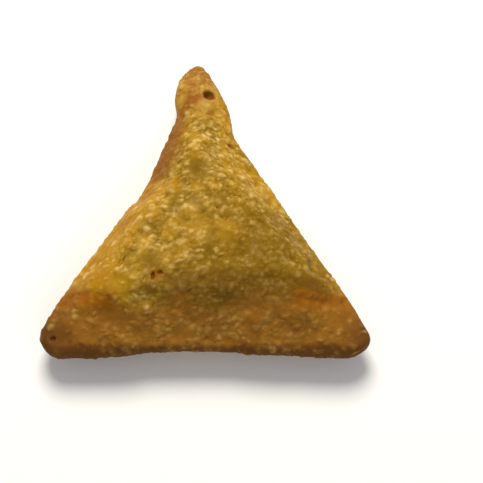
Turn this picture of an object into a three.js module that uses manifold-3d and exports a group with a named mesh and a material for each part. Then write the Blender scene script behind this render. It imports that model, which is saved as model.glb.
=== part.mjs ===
// A fried samosa: a strip of thin pastry folded into a plump triangle round its filling.
// It is whole and uncut, so it is one solid. It lies flat, as on a table, with +Z up,
// +Y towards its long folded tail, and the origin on the table under its middle.
// Everything is in millimetres.
import * as THREE from "three";
import { ImprovedNoise } from "three/addons/math/ImprovedNoise.js";
import { mergeVertices } from "three/addons/utils/BufferGeometryUtils.js";
import Module from "manifold-3d";

// Driving dimensions
const UPPER_PUFF = 15.6; // how far the filling pushes the top face up from the fold plane
const LOWER_PUFF = 10.3; // the same below, before the table flattens it
const LOWER_ROUND = 1.4; // above 1 the underside is rounder than the top
const FOLD_PLANE = 9; // height of the folded edge above the table
const TIP_DROOP = 0.8; // how much lower the three tips sit than the edges between them
const EDGE_HALF = 2; // half thickness of the folded pastry along the edges
const TIP_HALF = 3.4; // half thickness where the layers stack up at the tips
const DOME = 0.36; // a higher power makes the three arms taper more
const SETTLE = 0.8; // how gently the underside rounds into its flat spot

// The outline seen from above, side by side. Each side starts at a tip: the tail, the left
// tip and the right one. The tail has a neck, where the last fold tucks in. The flank above
// a side is as wide as given, and a higher bend keeps its slope steep for longer.
const SIDES = [
  {
    flank: 13,
    bend: 2,
    points: [
      [-3.9, 52.1],
      [-6.5, 50.7],
      [-9.9, 46.4],
      [-11.4, 39.4],
      [-10.6, 32.9],
      [-12.9, 24.6],
      [-17.2, 12.6],
      [-22.1, 1.4],
      [-25.7, -2.6],
      [-33.1, -14.6],
      [-41.1, -27.2],
      [-47.8, -38.4],
    ],
  },
  {
    flank: 16,
    bend: 1.2,
    points: [
      [-50.5, -45.6],
      [-46.7, -51.2],
      [-37.5, -52],
      [-26.1, -51.3],
      [-15, -50.2],
      [0.5, -50.1],
      [16.5, -50.8],
      [33.5, -51.6],
      [45, -51.4],
    ],
  },
  {
    flank: 16,
    bend: 1.8,
    points: [
      [50.4, -46.8],
      [47.2, -38.4],
      [38.6, -24.4],
      [30.1, -10.6],
      [22.5, 1.8],
      [14.9, 14.4],
      [8.3, 25.2],
      [7.7, 29.4],
      [6.8, 35],
      [4.5, 40.8],
      [1.1, 47],
      [-1.5, 51],
    ],
  },
];

// Relief
const LUMP = { size: 15, height: 1.3 }; // the filling shows through as soft lumps
const DENT = { size: 6.5, height: 0.8 };
const BLISTERS = { count: 300, seed: 41, radius: [2, 3.6], height: [0.2, 0.7] };
const FOOT_CLEAR = [0.3, 3]; // relief fades out towards the table between these heights
const RIM_CLEAR = 5; // relief fades towards the rim over this width
const RIM_RELIEF = 0.3; // and this share of it is left there

// Creases of the folded layers, as paths over the upper face. A ridge has a depth below 0.
const CREASES = [
  { path: [[-13.5, 31.6], [-4.5, 30.6], [1, 31.2], [9.5, 34]], depth: 0.8, width: 1.4 },
  { path: [[-41.5, -33.9], [-36, -35.1], [-30, -35.9]], depth: 1, width: 2 },
  { path: [[41.5, -35.3], [36.5, -36.6], [30, -37.4]], depth: 0.9, width: 2 },
  { path: [[-14.5, 13], [-9, 14.2], [-4.5, 13], [0.5, 10.4]], depth: -0.5, width: 1.5 },
];

// The edges of outer layers: the crust rises by one layer on the left of the path, seen
// walking along it, and settles back within the reach.
const LAYER_EDGES = [
  { path: [[11.5, 24.2], [7.5, 26.6], [3.3, 28.2], [0, 30.4]], rise: 1, reach: 7 },
  { path: [[-21.5, -33], [-18, -14], [-11.1, 6], [-6.1, 24]], rise: 0.7, reach: 9 },
];
const LAYER_RAMP = 0.9; // half the width of the slope up to the layer

// Burst blisters and scorched pits, each by its place seen from above.
const PITS = [
  { at: [0.2, 38.5], radii: [1.9, 1.7], depth: 2 },
  { at: [-45.9, -46.7], radii: [0.85, 0.85], depth: 1.2 },
  { at: [-15.4, -31.2], radii: [0.55, 1.5], depth: 1 },
  { at: [-13.2, -30.2], radii: [0.9, 0.8], depth: 0.9 },
  { at: [7.3, 18.9], radii: [1.1, 0.8], depth: 0.6 },
];
const PIT_FACETS = 14;

const ROWS = 72; // rows of triangles from each side to the tip opposite
const RIM_CROWD = 1.6; // how much the outer rows crowd to the rim, to round the fold
const RIM_BAND = 10; // rows further in than this stay where they are

const fade = (from, to, value) => THREE.MathUtils.smoothstep(value, from, to);

// A smooth path through points seen from above.
function pathOf(points, closed, steps) {
  const through = points.map(([x, y]) => new THREE.Vector3(x, y, 0));
  return new THREE.CatmullRomCurve3(through, closed, "centripetal").getPoints(steps);
}

const PATH_STEPS = 24; // between two given points
const allPoints = SIDES.flatMap(({ points }) => points);
const outline = pathOf(allPoints, true, allPoints.length * PATH_STEPS);

// The outline cut up into its three sides, each with both its tips.
function sidePaths() {
  let start = 0;
  return SIDES.map(({ points }) => {
    const end = start + points.length * PATH_STEPS;
    const path = outline.slice(start, end + 1);
    start = end;
    return path;
  });
}
const sides = sidePaths();
const tips = sides.map((path) => path[0]);

// The point a share of the way along a path, measured along it.
function pointAlong(path, share) {
  const lengths = [0];
  for (let i = 1; i < path.length; i++) {
    lengths.push(lengths[i - 1] + path[i].distanceTo(path[i - 1]));
  }
  const wanted = share * lengths.at(-1);
  const next = Math.max(1, lengths.findIndex((length) => length >= wanted - 1e-9));
  const span = lengths[next] - lengths[next - 1];
  return new THREE.Vector3().lerpVectors(
    path[next - 1],
    path[next],
    (wanted - lengths[next - 1]) / span,
  );
}

// The nearest point of a path, with its distance, the side of the path that the given place
// is on (above 0 on the left) and how far along the path it is.
function nearest(path, place) {
  let best = { gap: Infinity };
  const line = new THREE.Line3();
  const point = new THREE.Vector3();
  for (let i = 1; i < path.length; i++) {
    line.set(path[i - 1], path[i]);
    line.closestPointToPoint(place, true, point);
    const gap = point.distanceTo(place);
    if (gap >= best.gap) continue;
    const [a, b] = [path[i - 1], path[i]];
    const side = Math.sign((b.x - a.x) * (place.y - a.y) - (b.y - a.y) * (place.x - a.x));
    best = { gap, side, point: point.clone(), along: i / (path.length - 1) };
  }
  return best;
}

// A place in the outline from its three weights. Each weight is 1 at its tip and 0 along the
// side opposite. The curved sides are blended into the triangle between the tips.
function placeAt(weights) {
  const place = new THREE.Vector3();
  tips.forEach((tip, i) => place.addScaledVector(tip, weights[i]));
  sides.forEach((path, i) => {
    const [here, next] = [weights[i], weights[(i + 1) % 3]];
    const both = here + next;
    if (both === 0) return;
    const share = next / both;
    const straight = new THREE.Vector3().lerpVectors(tips[i], tips[(i + 1) % 3], share);
    place.addScaledVector(pointAlong(path, share).sub(straight), both);
  });
  return place;
}

// Moves a place near the rim closer to it.
function crowded(place, onRim) {
  if (onRim) return place;
  const { gap, point } = nearest(outline, place);
  const shift = ((RIM_CROWD * gap) / (gap + RIM_CROWD)) * (1 - fade(0, RIM_BAND, gap));
  return place.clone().lerp(point, shift / gap);
}

// The filling's push, from 0 along the rim to 1 at the highest place. Each side lifts the
// crust over its own flank, and all three together taper the arms.
function fillingPush(gaps) {
  const total = gaps[0] + gaps[1] + gaps[2];
  if (Math.min(...gaps) === 0) return 0;
  const lift = SIDES.reduce(
    (product, { flank, bend }, i) => product * (1 - Math.max(0, 1 - gaps[i] / flank) ** bend),
    1,
  );
  const share = gaps.reduce((product, gap) => (product * 3 * gap) / total, 1);
  return lift * share ** DOME;
}

// A height pressed up by the table: it comes to rest at exactly 0.
function settled(z) {
  if (z >= SETTLE) return z;
  return z <= -SETTLE ? 0 : (z + SETTLE) ** 2 / (4 * SETTLE);
}

// The points of the upper and the lower face over one place.
function crustAt(weights) {
  const onRim = Math.min(...weights) === 0;
  const place = crowded(placeAt(weights), onRim);
  const gaps = sides.map((path) => (onRim ? 0 : nearest(path, place).gap));
  const tip = fade(0.72, 0.97, Math.max(...weights));
  const half = THREE.MathUtils.lerp(EDGE_HALF, TIP_HALF, tip);
  const rounding = half * Math.sqrt(1 - (1 - Math.min(Math.min(...gaps) / half, 1)) ** 2);
  const plane = FOLD_PLANE - TIP_DROOP * tip;
  const push = fillingPush(gaps);
  const upper = plane + Math.hypot(rounding, UPPER_PUFF * push);
  const lower = settled(plane - Math.hypot(rounding, LOWER_PUFF * push ** LOWER_ROUND));
  return [upper, lower].map((z) => new THREE.Vector3(place.x, place.y, z));
}

// Both faces as rows of triangles, joined along the rim.
function pillow() {
  const grid = [];
  for (let row = 0; row <= ROWS; row++) {
    grid.push([]);
    for (let i = 0; i <= row; i++) {
      grid[row].push(crustAt([ROWS - row, row - i, i].map((share) => share / ROWS)));
    }
  }
  const positions = [];
  const add = (...corners) => {
    for (const [upper] of corners) positions.push(...upper.toArray());
    for (const [, lower] of corners.toReversed()) positions.push(...lower.toArray());
  };
  for (let row = 0; row < ROWS; row++) {
    for (let i = 0; i <= row; i++) {
      add(grid[row][i], grid[row + 1][i], grid[row + 1][i + 1]);
      if (i < row) add(grid[row][i], grid[row + 1][i + 1], grid[row][i + 1]);
    }
  }
  const loose = new THREE.BufferGeometry();
  loose.setAttribute("position", new THREE.Float32BufferAttribute(positions, 3));
  const joined = mergeVertices(loose, 1e-3);
  joined.computeVertexNormals();
  return joined;
}

// A seeded random number from 0 to 1.
function seeded(seed) {
  let state = seed;
  return () => {
    state = (state + 0x6d2b79f5) | 0;
    let t = Math.imul(state ^ (state >>> 15), 1 | state);
    t = (t + Math.imul(t ^ (t >>> 7), 61 | t)) ^ t;
    return ((t ^ (t >>> 14)) >>> 0) / 4294967296;
  };
}

// Blisters, where fat bubbled through the pastry on both faces.
function blisters(position) {
  const random = seeded(BLISTERS.seed);
  const between = ([low, high]) => low + (high - low) * random();
  return Array.from({ length: BLISTERS.count }, () => ({
    centre: new THREE.Vector3().fromBufferAttribute(
      position,
      Math.floor(random() * position.count),
    ),
    radius: between(BLISTERS.radius),
    height: between(BLISTERS.height),
  }));
}

const noise = new ImprovedNoise();
const lumpAt = (p, { size, height }, shift) =>
  height * noise.noise(p.x / size + shift, p.y / size, p.z / size);

function creaseRise({ line, depth, width }, place) {
  return -depth * Math.exp(-((nearest(line, place).gap / width) ** 2));
}

function layerRise({ line, rise, reach }, place) {
  const { gap, side, along } = nearest(line, place);
  const ramp = fade(-LAYER_RAMP, LAYER_RAMP, side * gap);
  return rise * ramp * (1 - fade(0, reach, gap)) * Math.sin(Math.PI * along);
}

// Pushes every point of the pillow in or out along its normal.
function addRelief(geometry) {
  const position = geometry.getAttribute("position");
  const normal = geometry.getAttribute("normal");
  const bumps = blisters(position);
  const withLine = (fold) => ({ ...fold, line: pathOf(fold.path, false, PATH_STEPS) });
  const creases = CREASES.map(withLine);
  const layers = LAYER_EDGES.map(withLine);
  const moved = [];
  for (let i = 0; i < position.count; i++) {
    const p = new THREE.Vector3().fromBufferAttribute(position, i);
    const n = new THREE.Vector3().fromBufferAttribute(normal, i);
    const place = new THREE.Vector3(p.x, p.y, 0);
    let push = lumpAt(p, LUMP, 3.1) + lumpAt(p, DENT, 7.7);
    for (const { centre, radius, height } of bumps) {
      const gap = p.distanceTo(centre) / radius;
      if (gap < 1) push += height * Math.cos((gap * Math.PI) / 2) ** 2;
    }
    const upper = fade(0, 0.5, n.z);
    for (const crease of creases) push += upper * creaseRise(crease, place);
    for (const layer of layers) push += upper * layerRise(layer, place);
    const inland = fade(0, RIM_CLEAR, nearest(outline, place).gap);
    push *= fade(...FOOT_CLEAR, p.z) * THREE.MathUtils.lerp(RIM_RELIEF, 1, inland);
    moved.push(p.addScaledVector(n, push));
  }
  moved.forEach((p, i) => position.setXYZ(i, p.x, p.y, Math.max(p.z, 0)));
  return geometry;
}

const wasm = await Module();
wasm.setup();

function solidOf(geometry) {
  const bare = new THREE.BufferGeometry();
  bare.setAttribute("position", geometry.getAttribute("position"));
  bare.setIndex(geometry.index);
  const joined = mergeVertices(bare, 1e-3);
  return new wasm.Manifold(
    new wasm.Mesh({
      numProp: 3,
      vertProperties: new Float32Array(joined.getAttribute("position").array),
      triVerts: new Uint32Array(joined.index.array),
    }),
  );
}

function geometryOf(solid) {
  const { vertProperties, triVerts } = solid.getMesh();
  const geometry = new THREE.BufferGeometry();
  geometry.setAttribute("position", new THREE.BufferAttribute(vertProperties, 3));
  geometry.setIndex(new THREE.BufferAttribute(triVerts, 1));
  return geometry;
}

// A rounded hollow to cut out of the crust, square to its face.
function pit(geometry, { at: [x, y], radii, depth }) {
  const down = new THREE.Raycaster(new THREE.Vector3(x, y, 100), new THREE.Vector3(0, 0, -1));
  const [{ point, face }] = down.intersectObject(new THREE.Mesh(geometry));
  const bowl = new THREE.SphereGeometry(1, PIT_FACETS, PIT_FACETS / 2);
  bowl.deleteAttribute("normal");
  bowl.deleteAttribute("uv");
  bowl.rotateX(Math.PI / 2);
  bowl.scale(radii[0], radii[1], depth);
  const up = new THREE.Vector3(0, 0, 1);
  bowl.applyQuaternion(new THREE.Quaternion().setFromUnitVectors(up, face.normal));
  bowl.translate(point.x, point.y, point.z);
  return solidOf(bowl);
}

function samosaGeometry() {
  const whole = addRelief(pillow());
  const hollows = PITS.map((place) => pit(whole, place));
  const solid = hollows.reduce((rest, hollow) => rest.subtract(hollow), solidOf(whole));
  const geometry = geometryOf(solid);
  geometry.computeBoundingBox();
  const { min, max } = geometry.boundingBox;
  geometry.translate(-(min.x + max.x) / 2, -(min.y + max.y) / 2, 0);
  geometry.computeVertexNormals();
  return geometry;
}

const friedPastry = new THREE.MeshStandardMaterial({
  color: 0xb98a36,
  roughness: 0.45,
  metalness: 0,
});

const samosa = new THREE.Mesh(samosaGeometry(), friedPastry);
samosa.name = "samosa";

const part = new THREE.Group();
part.add(samosa);

export default part;
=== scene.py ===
# %% [markdown]
# # A fried samosa
# A strip of thin pastry is folded over and over into a plump triangle, and fried until it is
# gold and blistered. The solid model gives its true form. This lesson turns that form into
# fried pastry: fine blisters in the mesh, then colour, browning and soaked-in oil in the
# material. The solid comes in first, as a fixed frame that everything else has to fit.

# %% Load the solid model
import math
import random

import bpy
import numpy as np
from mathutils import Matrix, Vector, kdtree, noise


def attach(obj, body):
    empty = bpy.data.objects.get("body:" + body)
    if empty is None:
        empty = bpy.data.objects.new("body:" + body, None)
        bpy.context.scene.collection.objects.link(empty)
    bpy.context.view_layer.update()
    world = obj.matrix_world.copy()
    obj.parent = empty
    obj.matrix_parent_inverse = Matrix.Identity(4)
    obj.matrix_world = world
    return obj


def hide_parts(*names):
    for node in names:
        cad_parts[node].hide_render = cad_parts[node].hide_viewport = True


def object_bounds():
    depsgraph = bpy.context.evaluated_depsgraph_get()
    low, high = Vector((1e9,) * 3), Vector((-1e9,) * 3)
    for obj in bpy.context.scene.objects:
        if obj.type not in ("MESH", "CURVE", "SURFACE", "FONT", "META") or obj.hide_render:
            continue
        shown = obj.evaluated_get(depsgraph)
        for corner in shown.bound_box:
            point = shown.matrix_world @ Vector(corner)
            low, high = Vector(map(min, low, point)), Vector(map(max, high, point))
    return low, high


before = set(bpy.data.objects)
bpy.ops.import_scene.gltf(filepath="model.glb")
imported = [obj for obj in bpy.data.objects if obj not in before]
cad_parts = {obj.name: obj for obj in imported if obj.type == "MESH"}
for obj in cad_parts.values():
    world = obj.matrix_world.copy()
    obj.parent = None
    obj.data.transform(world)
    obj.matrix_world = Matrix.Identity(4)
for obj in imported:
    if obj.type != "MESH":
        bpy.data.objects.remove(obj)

solid_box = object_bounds()
MM = 0.001
low_corner, high_corner = (np.array(corner) / MM for corner in solid_box)
print("the solid is", [round(float(side), 1) for side in high_corner - low_corner], "mm")

# %% [markdown]
# ## A skin that can carry blisters
# The solid is made of triangles more than a millimetre wide, and a blister on fried pastry is
# hardly wider. More triangles are needed, all of about one size. Subdividing would keep the
# old facets and the uneven rows, so the copy is remeshed on a fine voxel grid instead, and
# then relaxed a little, which takes the facets away and leaves the lumps and folds.

# %% Copy the solid and merge its loose triangles
MERGE_GAP = 0.002 * MM

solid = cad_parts["samosa"]
pastry = bpy.data.objects.new("samosa_pastry", solid.data.copy())
bpy.context.scene.collection.objects.link(pastry)
pastry.data.materials.clear()


def pick(piece):
    """Makes one piece the only selected one."""
    bpy.ops.object.select_all(action="DESELECT")
    piece.select_set(True)
    bpy.context.view_layer.objects.active = piece


pick(pastry)
bpy.ops.object.mode_set(mode="EDIT")
bpy.ops.mesh.select_all(action="SELECT")
bpy.ops.mesh.remove_doubles(threshold=MERGE_GAP)
bpy.ops.object.mode_set(mode="OBJECT")
print("merged copy:", len(pastry.data.vertices), "points")

# %% Remesh and relax
VOXEL = 0.44 * MM  # small enough for the blisters, and keeps the piece under 200,000 triangles
RELAX_FACTOR = 0.5
RELAX_STEPS = 7


def apply(piece, kind, **settings):
    """Adds a modifier with its settings and applies it at once."""
    modifier = piece.modifiers.new(kind.title(), kind)
    for key, value in settings.items():
        setattr(modifier, key, value)
    pick(piece)
    bpy.ops.object.modifier_apply(modifier=modifier.name)


apply(pastry, "REMESH", mode="VOXEL", voxel_size=VOXEL)
apply(pastry, "SMOOTH", factor=RELAX_FACTOR, iterations=RELAX_STEPS)
print("remeshed:", len(pastry.data.polygons), "faces")

# %% [markdown]
# ## Where things are on the pastry
# Blisters, browning and oil all depend on the place: the folded edges stay smooth, the
# middle blisters most, and the tips brown first. These places are measured once, at each
# point of the skin, as plain fields from 0 to 1. They work like weight painting by a rule.

# %% Read the points and their normals
count = len(pastry.data.vertices)
numbers = np.empty(count * 3)
pastry.data.vertices.foreach_get("co", numbers)
points = numbers.reshape(-1, 3) / MM
pastry.data.vertices.foreach_get("normal", numbers)
normals = numbers.reshape(-1, 3).copy()
print("points on the skin:", count)


# %% Measure distances to places and lines
def fade(value, start, end):
    """A smooth step from 0 at the start to 1 at the end. The start may be the larger."""
    share = np.clip((value - start) / (end - start), 0, 1)
    return share * share * (3 - 2 * share)


def inland(start, end):
    """How far each point lies to the left of the straight line from start to end, in mm."""
    (ax, ay), (bx, by) = start, end
    across = (bx - ax) * (points[:, 1] - ay) - (by - ay) * (points[:, 0] - ax)
    return across / math.hypot(bx - ax, by - ay)


def near(spot, reach):
    """1 at a spot, falling to 0 at the reach."""
    return 1 - fade(np.linalg.norm(points[:, : len(spot)] - spot, axis=1), 0, reach)


def near_line(path, reach):
    """1 along a path seen from above, falling to 0 at the reach."""
    gap = np.full(count, np.inf)
    for (ax, ay), (bx, by) in zip(path, path[1:]):
        step = np.array([bx - ax, by - ay])
        offset = points[:, :2] - (ax, ay)
        share = np.clip(offset @ step / (step @ step), 0, 1)
        gap = np.minimum(gap, np.linalg.norm(offset - share[:, None] * step, axis=1))
    return 1 - fade(gap, 0, reach)


print("points within 20 mm of the middle:", int((near((0, 0), 20) > 0).sum()))


# %% Make soft noise
def cloud(size, shift=0.0):
    """Soft noise from about -0.7 to 0.7, with lumps as wide as the size in mm."""
    return np.array([noise.noise(Vector(point) / size + Vector((shift, 0, 0))) for point in points])


mottle = cloud(3.5, 2.0)
print("mottling goes from", round(float(mottle.min()), 2), "to", round(float(mottle.max()), 2))

# %% Measure the edges, the tail and the flank
TAIL_TIP = (-4, 51, 8)
LEFT_TIP = (-48, -47, 8)
RIGHT_TIP = (48, -47, 8)
LEFT_NECK = (-11, 31)
RIGHT_NECK = (8, 27)
FLANK_WAVER = 5  # mm that noise moves the flank's upper border

from_left_edge = inland(LEFT_NECK, LEFT_TIP[:2])
from_right_edge = inland(RIGHT_TIP[:2], RIGHT_NECK)
from_near_edge = points[:, 1] - low_corner[1]
edge_gap = np.minimum(np.minimum(from_left_edge, from_right_edge), from_near_edge)

clear_of_table = fade(points[:, 2], 0.3, 3)
on_fold = 1 - fade(np.abs(normals[:, 2]), 0.1, 0.65)
upper = fade(normals[:, 2], -0.1, 0.3)
tail = fade(points[:, 1], 27, 33)
left_band = upper * fade(from_left_edge, 14, 6) * (1 - near(LEFT_TIP, 34))
left_band *= fade(points[:, 1], 14, 2)
near_flank = upper * fade(from_near_edge + FLANK_WAVER * cloud(8, 8.0), 20, 10.5)
print("points on the folded edge:", int((on_fold > 0.5).sum()), "of", count)

# %% [markdown]
# ## Blisters
# Water in the pastry boils in the hot oil and lifts the crust into thousands of small domes,
# most of them one or two millimetres wide. Many run together into short wrinkles, and some
# burst. A cloud texture on a Displace modifier would give soft hills, all alike, so each
# blister is placed by a seeded draw, with its own length, width and height. Noise pulls the
# outlines out of round. Where blisters meet, the taller one wins, so they crowd like bubbles
# and don't pile up. One Displace modifier then lifts them all along the normals.

# %% Say where blisters crowd
LEFT_CREASE_MIDDLE = (-31, -34)
RIGHT_CREASE_MIDDLE = (31, -35)

bare_band = 1 - 0.4 * left_band
bare_tail = 1 - 0.7 * tail
bare_tips = 1 - 0.9 * np.maximum(near(LEFT_TIP, 32), near(RIGHT_TIP, 30))
creases = np.maximum(near(LEFT_CREASE_MIDDLE, 10), near(RIGHT_CREASE_MIDDLE, 10))
bare_creases = 1 - 0.7 * creases
calm_flank = 1 - 0.4 * near_flank
crowding = clear_of_table * (1 - 0.85 * on_fold) * bare_band * bare_tail * bare_tips
crowding *= bare_creases * calm_flank
crowding *= np.clip(0.8 + 1.2 * cloud(7), 0, 1)
print("mean crowding:", round(float(crowding.mean()), 2))

# %% Pull the points about, so that outlines come out uneven
PULL = 0.65  # mm
PULL_SIZE = 1.6  # mm, how wide one pull reaches
PULL_SEED = 12

noise.seed_set(PULL_SEED)  # or else noise_vector would come out otherwise on each run
pulls = [noise.noise_vector(Vector(point) / PULL_SIZE) for point in points]
pulled = points + PULL * np.array(pulls)
tree = kdtree.KDTree(count)
for i, point in enumerate(pulled):
    tree.insert(point, i)
tree.balance()
print("largest pull:", round(float(np.linalg.norm(pulled - points, axis=1).max()), 2), "mm")

# %% Draw the blisters
BLISTER_SEED = 12
BLISTER_TRIES = 24000
BLISTER_RADII = (0.55, 2.5)  # mm, along the blister
SMALLNESS = 2.2  # the higher this power, the more blisters are small
HEIGHT_SPREAD = (0.3, 1.1)  # shares of what a blister of its length may have
WIDTH_SPREAD = (0.3, 0.85)  # shares of the length
LONG_WAY = (1, 0.1, 0)  # the way that the pastry was stretched, and so most blisters
LONG_WAY_SPREAD = 0.5
BURST_SHARE = 0.04
BURST_FROM = 1  # mm, as smaller ones don't burst
BURST_WIDTH = 0.4  # how far out the hollow reaches
BURST_DEPTH = 0.9  # share of the height that it takes away

random.seed(BLISTER_SEED)
blister = np.zeros(count)
made = 0
for _ in range(BLISTER_TRIES):
    i = random.randrange(count)
    if random.random() > crowding[i]:
        continue
    made += 1
    small, large = BLISTER_RADII
    radius = small + (large - small) * random.random() ** SMALLNESS
    height = min(1, (radius / large) ** 0.5 * random.uniform(*HEIGHT_SPREAD))
    burst = radius > BURST_FROM and random.random() < BURST_SHARE
    long_way = Vector([random.gauss(mean, LONG_WAY_SPREAD) for mean in LONG_WAY]).normalized()
    width = random.uniform(*WIDTH_SPREAD)
    centre = Vector(pulled[i])
    for place, j, gap in tree.find_range(centre, radius):
        along = (place - centre).dot(long_way)
        share = (along**2 + (gap**2 - along**2) / width**2) / radius**2
        if share < 1:
            hollow = max(0, 1 - share / BURST_WIDTH) if burst else 0
            blister[j] = max(blister[j], height * ((1 - share) ** 2 - BURST_DEPTH * hollow))
print("blisters:", made)

# %% [markdown]
# ## Pits with raised lips
# A few blisters burst right open: a round hole in the tail with a pale lip round it, a
# pinhole at the left tip, a forked slit low on the left face, and a shallow dent below the
# neck. The solid has them, but relaxing softened them, so they are dug again, and the hole
# gets its lip.

# %% Measure the pits
HOLE = (0.2, 38.3)
PINHOLE = (-45.9, -46.7)
SLIT = (-15.4, -31.2)
SLIT_FORK = (-13.2, -30.2)
NECK_DENT = (7.3, 18.9)
# Each pit has its place seen from above, its half width each way in mm and its share of depth.
PITS = [
    (HOLE, (1.95, 2.2), 1.0),
    (PINHOLE, (0.95, 0.95), 0.7),
    (SLIT, (0.6, 1.6), 0.7),
    (SLIT_FORK, (1.0, 0.9), 0.6),
    (NECK_DENT, (1.1, 0.8), 0.3),
]
LIP_SHARE = 0.5
LIP_PLACE = 1.4  # half widths out from the middle of the pit
LIP_WIDTH = 0.22

dug = np.zeros(count)
for (x, y), (half_x, half_y), share in PITS:
    gap = np.hypot((points[:, 0] - x) / half_x, (points[:, 1] - y) / half_y)
    dug = np.maximum(dug, upper * share * (1 - fade(gap, 0.55, 1.1)))
    lip = upper * share**3 * np.exp(-(((gap - LIP_PLACE) / LIP_WIDTH) ** 2))
    blister = np.maximum(blister, LIP_SHARE * lip)
print("points in the pits:", int((dug > 0).sum()))

# %% Lift the blisters and dig the pits
BLISTER_HEIGHT = 0.7 * MM
SWELLING = 0.35  # the share of the height that broad, soft swelling takes
PIT_DEPTH = 0.5 * MM
FAINTEST = 0.002  # weights below this are left out
SOFTENING = 0.2  # takes the last sharp steps off the skin


def paint(piece, name, weights):
    """Paints a vertex group, point by point."""
    group = piece.vertex_groups.new(name=name)
    for i in np.flatnonzero(weights > FAINTEST):
        group.add([int(i)], float(weights[i]), "REPLACE")
    return group.name


swelling = np.clip(0.5 + cloud(3, 5.0), 0, 1) * clear_of_table * (1 - on_fold)
swelling *= 1 - 0.6 * left_band
lift = np.clip(blister * (1 - dug) * (1 - SWELLING) + SWELLING * swelling, 0, 1)
raised = paint(pastry, "raised", lift)
sunk = paint(pastry, "sunk", dug)
apply(pastry, "DISPLACE", mid_level=0, strength=BLISTER_HEIGHT, vertex_group=raised)
apply(pastry, "DISPLACE", mid_level=0, strength=-PIT_DEPTH, vertex_group=sunk)
apply(pastry, "SMOOTH", factor=SOFTENING, iterations=1)
pastry.vertex_groups.clear()
pick(pastry)
bpy.ops.object.shade_smooth()
print("mean lift:", round(float(lift.mean()) * BLISTER_HEIGHT / MM, 2), "mm")

# %% [markdown]
# ## Fields for the material
# The material should know where a blister's top is, where the pastry browned and where the
# pits are scorched and darkened with painted shade. Each field becomes an attribute of the
# mesh, so the colours stay fixed to the crust. Marks are listed as a cook would point them out.
# Each has its place seen from above, its reach in mm and its strength.


# %% Find the yellow and pale patches of the tail
def spots(marks):
    """The strongest of some marks at each point."""
    return np.maximum.reduce([strength * near(spot, reach) for spot, reach, strength in marks])


YELLOW_PATCHES = [
    ((-10.0, 40.5), 4.5, 0.9),
    ((-9.0, 36.8), 4.0, 0.9),
    ((4.5, 35.5), 6.5, 1.0),
    ((5.0, 31.0), 7.0, 1.0),
    ((-3.5, 31.5), 6.5, 1.0),
    ((-1.9, 41.9), 3.5, 0.8),
]
PALE_PATCHES = [
    ((-1.0, 33.7), 3.5, 0.7),
    ((-9.0, 37.0), 3.0, 0.6),
    ((1.0, 41.3), 3.0, 0.5),
]

yellow = spots(YELLOW_PATCHES)
pale = spots(PALE_PATCHES)
pinkish = tail * (1 - yellow) * (0.45 + 0.55 * fade(mottle, -0.25, 0.15))
print("pinkish points:", int((pinkish > 0.5).sum()))

# %% Brown the tips, the edges and the flank
UPPER_LEFT_EDGE = [(-10.8, 29), (-11.6, 22), (-13.6, 14.5), (-15.2, 8)]

dark_edge = near_line(UPPER_LEFT_EDGE, 8)
browned = np.maximum.reduce(
    [
        0.95 * near(LEFT_TIP, 28),
        0.9 * near(RIGHT_TIP, 26),
        0.7 * near(TAIL_TIP, 13),
        0.95 * fade(from_near_edge, 7, 2),
        0.25 * on_fold,
        0.42 * near_flank,
        0.6 * tail * (1 - 0.8 * yellow) * fade(mottle, -0.25, 0.5),
        0.5 * near_flank * fade(points[:, 2], 9, 5),
        0.35 * dark_edge,
        0.3 * (1 - upper) * clear_of_table,
    ]
)
print("mean browning:", round(float(browned.mean()), 2))

# %% Toast the creases and the small marks
LEFT_CREASE = [(-42.8, -34.4), (-36, -36.2), (-29, -37.6)]
RIGHT_CREASE = [(42.5, -34.8), (36.5, -36.0), (29, -36.8)]
TOASTED_MARKS = [
    ((-5.0, 35.1), 2.4, 0.9),
    ((-5.7, 36.8), 6.0, 0.85),
    ((-4.5, 41.9), 3.5, 0.4),
    ((0.3, 31.0), 1.8, 0.7),
    ((-2.0, 44.5), 2.4, 0.4),
    (NECK_DENT, 2.4, 0.8),
    ((12.8, 11.0), 2.2, 0.8),
    ((-14.4, -31.0), 4.0, 0.7),
    ((-16.3, -34.0), 4.0, 0.45),
    ((-33.0, -28.5), 6.0, 0.4),
    ((-18.5, 0.5), 7.0, 0.5),
    ((-25.0, -11.5), 6.0, 0.35),
    ((-34.0, -22.0), 5.0, 0.4),
    ((-8.5, 14.0), 2.0, 0.4),
    ((0.2, 38.5), 3.2, 0.9),
]

toasted = np.maximum.reduce(
    [
        0.9 * near_line(LEFT_CREASE, 4.5) * upper,
        0.8 * near_line(RIGHT_CREASE, 4.5) * upper,
        0.45 * near_line(UPPER_LEFT_EDGE, 5) * upper,
        spots(TOASTED_MARKS) * upper,
    ]
)
print("toasted points:", int((toasted > 0.5).sum()))

# %% Place the gold and the thin, translucent parts
GOLD_PATCHES = [
    ((-25.5, -33.5), 8, 0.9),
    ((-7.5, 21.0), 6, 0.4),
    ((-11.0, -17.0), 5, 0.6),
    ((-8.0, -23.0), 5, 0.4),
    ((-2.0, -15.0), 6, 0.5),
    ((6.0, -16.0), 7, 0.6),
    ((12.0, 9.0), 8, 1.0),
    ((20.0, 0.0), 9, 1.0),
]

band = left_band * (1 - 0.8 * dark_edge)
golden = np.maximum.reduce([tail * (1 - dark_edge), band, spots(GOLD_PATCHES)])
translucent = upper * fade(edge_gap, 9, 17) * (1 - near_flank)
print("golden points:", int((golden > 0.5).sum()))
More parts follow.
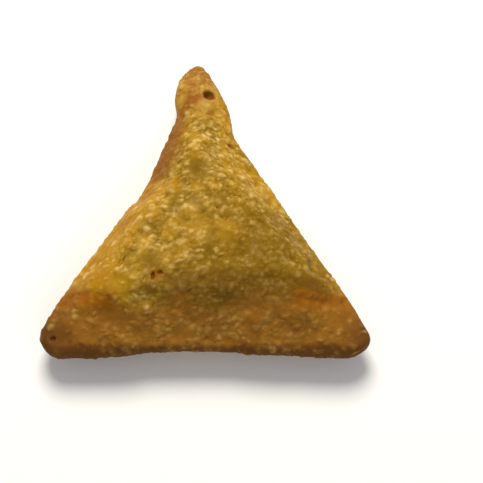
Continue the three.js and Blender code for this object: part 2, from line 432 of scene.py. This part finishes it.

# %% Soak some parts in oil, paint shadow on the low middle, and darken the pits with scorch and painted shade
# Most of these patches are crust darkened by oil; the wide one at (17, -22) is partly painted
# shadow as well.
OIL_AND_SHADOW_PATCHES = [
    ((17.0, -22.0), 42, 0.65),
    ((-2.0, 5.0), 9, 0.7),
    ((-16.0, -27.0), 8, 0.65),
    ((-14.0, 6.0), 9, 0.6),
    ((-6.0, -5.0), 7, 0.5),
]
# The olive along the low middle is partly browner crust and partly painted shadow.
LOW_MIDDLE = [(-7, -35), (32, -34)]  # along the top of the near flank

low_middle = (1 - 0.4 * near_flank) * near_line(LOW_MIDDLE, 15)
oil_and_shadow = (1 - 0.8 * near_flank) * spots(OIL_AND_SHADOW_PATCHES)
oil_and_shadow = upper * np.maximum.reduce([oil_and_shadow, low_middle, dark_edge])
# The pits take a dark brown that is partly scorched crust and partly painted shade where they are
# shallow; the deep hole shades itself, so its middle gets half as much.
scorch_and_pit_shade = np.clip(dug * 1.6, 0, 1) * (1 - 0.5 * near(HOLE, 4))
print("oily points:", int((oil_and_shadow > 0.5).sum()))

# %% Store the fields on the mesh
fields = {
    "blister": blister,
    "crowded": crowding,
    "browned": browned,
    "toasted": toasted,
    "pinkish": pinkish,
    "pale": pale,
    "tail": tail,
    "golden": golden,
    "band": band,
    "translucent": translucent,
    "oil_and_shadow": oil_and_shadow,
    "scorch_and_pit_shade": scorch_and_pit_shade,
}

for name, values in fields.items():
    attribute = pastry.data.attributes.new(name, "FLOAT", "POINT")
    attribute.data.foreach_set("value", np.asarray(values, dtype=np.float32))
print("fields:", ", ".join(fields))

# %% [markdown]
# ## Fried pastry
# The real stuff is a wheat dough rolled thin and deep fried. Its starch has turned gold, the
# tops of the blisters are pale and dry, the hollows between them hold oil and look darker,
# and thin places have a translucent olive shade. The pale tops also carry painted highlights
# in place of the oil's glints. The colours are mixed from a few that a cook would name, laid
# over each other like glazes. The oil has soaked in, so it darkens the crust where it
# gathers and leaves only a soft sheen. The olive laid low in the middle and towards the right
# is partly painted shadow.

# %% Name the colours
CREAM = "#E0C180"
PALE_GOLD = "#BF9B48"
GOLD = "#AB7F18"
OLIVE_GOLD = "#7C5C0B"
DARK_OLIVE = "#5F4009"
ORANGE_GOLD = "#B07E18"
GREY_OLIVE = "#866B2A"
PINKISH_TAN = "#9F7547"
TOASTED = "#874C08"
BROWN = "#93601F"
DARK_BROWN = "#5F3B17"
SCORCH_AND_PIT_SHADE = "#73430C"


def linear(colour):
    """An sRGB hex colour as the linear colour that a socket holds."""
    parts = [int(colour[i : i + 2], 16) / 255 for i in (1, 3, 5)]
    return [c / 12.92 if c <= 0.04045 else ((c + 0.055) / 1.055) ** 2.4 for c in parts] + [1]


print("gold is", [round(part, 3) for part in linear(GOLD)], "in linear light")

# %% Start the material
fried = bpy.data.materials.new("deep_fried_wheat_pastry")
fried.use_nodes = True
shader = fried.node_tree.nodes["Principled BSDF"]


def add(kind, inputs=(), output=0, **settings):
    """Adds a node and gives one of its outputs. Each input is a value or another output."""
    new = fried.node_tree.nodes.new("ShaderNode" + kind)
    for key, value in settings.items():
        setattr(new, key, value)
    for key, value in dict(inputs).items():
        if isinstance(value, bpy.types.NodeSocket):
            fried.node_tree.links.new(value, new.inputs[key])
        else:
            new.inputs[key].default_value = value
    return new.outputs[output]


object_place = add("TexCoord", output="Object")
print("nodes so far:", len(fried.node_tree.nodes))


# %% Say how much of a colour shows
def cover(source, start=None, end=None, low=0.0, high=1.0, detail=3, roughness=0.55, shift=0.0):
    """How much of something shows at each place. The source is the name of a field, the
    width in mm of the lumps of a cloudy pattern, or another cover. With a start and an end,
    its values between them are drawn out smoothly to run from low to high. The shift moves
    a pattern along, in metres, so that no two of them match."""
    if isinstance(source, str):
        source = add("Attribute", output="Fac", attribute_name=source)
    elif isinstance(source, (int, float)):
        moved = add("Mapping", {"Vector": object_place, "Location": (shift, 0, 0)})
        looks = {"Scale": 1 / (source * MM), "Detail": detail, "Roughness": roughness}
        source = add("TexNoise", {"Vector": moved, **looks}, output="Fac")
    if start is None:
        return source
    ends = {"From Min": start, "From Max": end, "To Min": low, "To Max": high}
    return add("MapRange", {"Value": source, **ends}, interpolation_type="SMOOTHSTEP")


patches = cover(8, 0.38, 0.64, roughness=0.7, shift=0.02)
thin = cover(4.5, 0.5, 0.62, shift=0.21)
print("nodes so far:", len(fried.node_tree.nodes))

# %% Lay the ground colours over each other
UNDER, OVER, MIXED = 6, 7, 2  # the Mix node's two colours going in and its colour coming out


def lay(crust, colour, *covers):
    """Lays a colour over the crust, as strongly as all its covers multiplied."""
    strength, *others = covers
    for other in others:
        strength = add("Math", {0: strength, 1: other}, operation="MULTIPLY", use_clamp=True)
    inputs = {"Factor": strength, UNDER: crust, OVER: linear(colour)}
    return add("Mix", inputs, output=MIXED, data_type="RGBA")


crust = lay(linear(OLIVE_GOLD), GOLD, patches)
crust = lay(crust, GREY_OLIVE, cover("translucent"), thin, 0.5)
# Olive and dark olive here are oil in the crust, and partly painted shadow low in the middle and
# towards the right.
crust = lay(crust, OLIVE_GOLD, cover("oil_and_shadow", 0.0, 0.65, high=0.95))
crust = lay(crust, DARK_OLIVE, cover("oil_and_shadow", 0.5, 1.0, high=0.8))
crust = lay(crust, GOLD, cover("golden"))
crust = lay(crust, ORANGE_GOLD, cover("band"), 0.85)
crust = lay(crust, PINKISH_TAN, cover("pinkish"), 0.8)
print("nodes so far:", len(fried.node_tree.nodes))

# %% Browning, the tail's blotches and toasting
sources = {0: cover("browned"), 1: cover(5, 0.56, 0.8, high=0.25, shift=0.09)}
browning = add("Math", sources, operation="ADD", use_clamp=True)
blotches = cover(2.6, 0.48, 0.6, high=0.8, detail=4, shift=0.7)
speckles = cover(1.7, 0.52, 0.62, high=0.5, detail=4, shift=0.6)
broken = cover(2.2, 0.3, 0.6, 0.55, 1.0, shift=0.4)

crust = lay(crust, BROWN, cover(browning, 0.0, 0.5, high=0.95))
crust = lay(crust, DARK_BROWN, cover(browning, 0.5, 1.0))
crust = lay(crust, BROWN, blotches, cover("tail"))
crust = lay(crust, PALE_GOLD, speckles, cover("tail"))
crust = lay(crust, TOASTED, cover("toasted"), broken)
print("nodes so far:", len(fried.node_tree.nodes))

# %% Dark oily hollows
tops = cover("blister")
fine = cover(1.5, detail=4, shift=0.05)
hollows = [
    cover(tops, 0.12, 0.0),
    cover("crowded"),
    cover("golden", 0.1, 0.8, 1.0, 0.4),
]

crust = lay(crust, DARK_OLIVE, *hollows, cover(fine, 0.62, 0.4, high=0.7))
print("nodes so far:", len(fried.node_tree.nodes))

# %% Pale dry tops with painted highlights, and the scorched pits with painted shade last
# The pale tops and the fine pale specks are dry crust and also painted highlights in place of
# the oil's glints. They are less pale where the crust is brown, toasted, oily or painted with
# shadow.
dry_and_glint = [
    cover(3.2, 0.36, 0.6, 0.4, 1.0, shift=0.3),
    cover(browning, 0.1, 0.5, 1.0, 0.28),
    cover("oil_and_shadow", 0.1, 0.8, 1.0, 0.22),
    cover(1.3, 0.4, 0.62, 0.5, 1.0, shift=0.5),
    cover("toasted", 0.1, 0.6, 1.0, 0.15),
]

crust = lay(crust, PALE_GOLD, *dry_and_glint, cover(fine, 0.54, 0.72, high=0.45))
crust = lay(crust, PALE_GOLD, *dry_and_glint, cover(tops, 0.0, 0.75))
crust = lay(crust, CREAM, *dry_and_glint, cover(tops, 0.4, 1.0, high=0.6))
crust = lay(crust, PALE_GOLD, cover("pale"))
# Last, the pits: scorched brown with painted shade.
crust = lay(crust, SCORCH_AND_PIT_SHADE, cover("scorch_and_pit_shade"))
fried.node_tree.links.new(crust, shader.inputs["Base Color"])
print("nodes so far:", len(fried.node_tree.nodes))

# %% Soft sheen, light in the crust and fine grain
# Oil that has soaked in leaves a low sheen, more or less rough from place to place. Thin
# dough lets a little light in. Its real grain is a few tenths of a millimetre wide, too fine
# for the render, so it is drawn coarser.
OIL_IOR = 1.47
SHEEN_LEVEL = 0.04
LIGHT_SHARE = 0.08
LIGHT_DEPTHS = (1.0, 0.5, 0.2)  # how far red, green and blue light goes in, in mm
GRAIN_SIZE = 0.8  # mm
GRAIN_DEPTH = 0.14 * MM
GRAIN_STRENGTH = 0.8

rough = cover(2.5, 0.35, 0.65, 0.34, 0.56, shift=0.13)
grain = cover(GRAIN_SIZE, detail=4, roughness=0.6, shift=0.17)
bump = add("Bump", {"Height": grain, "Distance": GRAIN_DEPTH, "Strength": GRAIN_STRENGTH})
fried.node_tree.links.new(rough, shader.inputs["Roughness"])
fried.node_tree.links.new(bump, shader.inputs["Normal"])
shader.inputs["IOR"].default_value = OIL_IOR
shader.inputs["Specular IOR Level"].default_value = SHEEN_LEVEL
shader.inputs["Subsurface Weight"].default_value = LIGHT_SHARE
shader.inputs["Subsurface Radius"].default_value = LIGHT_DEPTHS
shader.inputs["Subsurface Scale"].default_value = MM
pastry.data.materials.append(fried)
print("nodes in the material:", len(fried.node_tree.nodes))

# %% Take the solid's place
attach(pastry, "root")
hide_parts("samosa")
print("the pastry has", sum(len(f.vertices) - 2 for f in pastry.data.polygons), "triangles")

# %% [markdown]
# ## The table, the light and the camera
# The samosa lies on a plain pale surface. One large soft light stands behind and above it, so
# the near flank falls into a gentle shade, and a weak one in front opens that shade up. The
# camera looks down steeply, as at food on a table.

# %% Table
# Matt white card scatters light evenly, so it has no gloss.
TABLE_SIZE = 6  # metres

bpy.ops.object.select_all(action="DESELECT")
bpy.ops.mesh.primitive_plane_add(size=TABLE_SIZE, location=(0, 0, 0))
table = bpy.context.active_object
table.name = "table"
card = bpy.data.materials.new("matt_white_card")
card.use_nodes = True
card_shader = card.node_tree.nodes["Principled BSDF"]
card_shader.inputs["Base Color"].default_value = linear("#F4F3F0")
card_shader.inputs["Roughness"].default_value = 0.9
table.data.materials.append(card)
print("table:", TABLE_SIZE, "m wide")


# %% Lights
def aim(thing, target):
    """Turns a light or a camera towards a place."""
    way = Vector(target) - thing.location
    thing.rotation_euler = way.to_track_quat("-Z", "Y").to_euler()


def soft_light(name, location, size, watts, colour):
    """Adds a round area light that points at the middle of the table."""
    bpy.ops.object.light_add(type="AREA", location=location)
    lamp = bpy.context.active_object
    lamp.name = name
    lamp.data.shape = "DISK"
    lamp.data.size = size
    lamp.data.energy = watts
    lamp.data.color = linear(colour)[:3]
    aim(lamp, (0, 0, 0))
    print(name, "light:", watts, "W")


soft_light("key", (-0.05, 0.5, 0.65), size=0.45, watts=8, colour="#FFFAF2")
soft_light("fill", (0.3, -0.7, 0.5), size=0.6, watts=2, colour="#F4F7FF")

# %% The light of the room
ROOM_STRENGTH = 0.35

world = bpy.data.worlds.new("pale_room")
world.use_nodes = True
background = world.node_tree.nodes["Background"]
background.inputs["Color"].default_value = linear("#F2F2F2")
background.inputs["Strength"].default_value = ROOM_STRENGTH
bpy.context.scene.world = world
print("room light:", ROOM_STRENGTH)

# %% Camera
ELEVATION = 65  # degrees above the table
DISTANCE = 370 * MM
LENS = 85  # mm
AIM_POINT = Vector((11.0, -9.0, 0)) * MM

down = math.radians(ELEVATION)
camera_data = bpy.data.cameras.new("camera")
camera_data.lens = LENS
camera = bpy.data.objects.new("camera", camera_data)
bpy.context.scene.collection.objects.link(camera)
camera.location = AIM_POINT + DISTANCE * Vector((0, -math.cos(down), math.sin(down)))
aim(camera, AIM_POINT)
bpy.context.scene.camera = camera
bpy.context.scene.view_settings.view_transform = "Standard"
print("camera at", [round(part / MM) for part in camera.location], "mm")
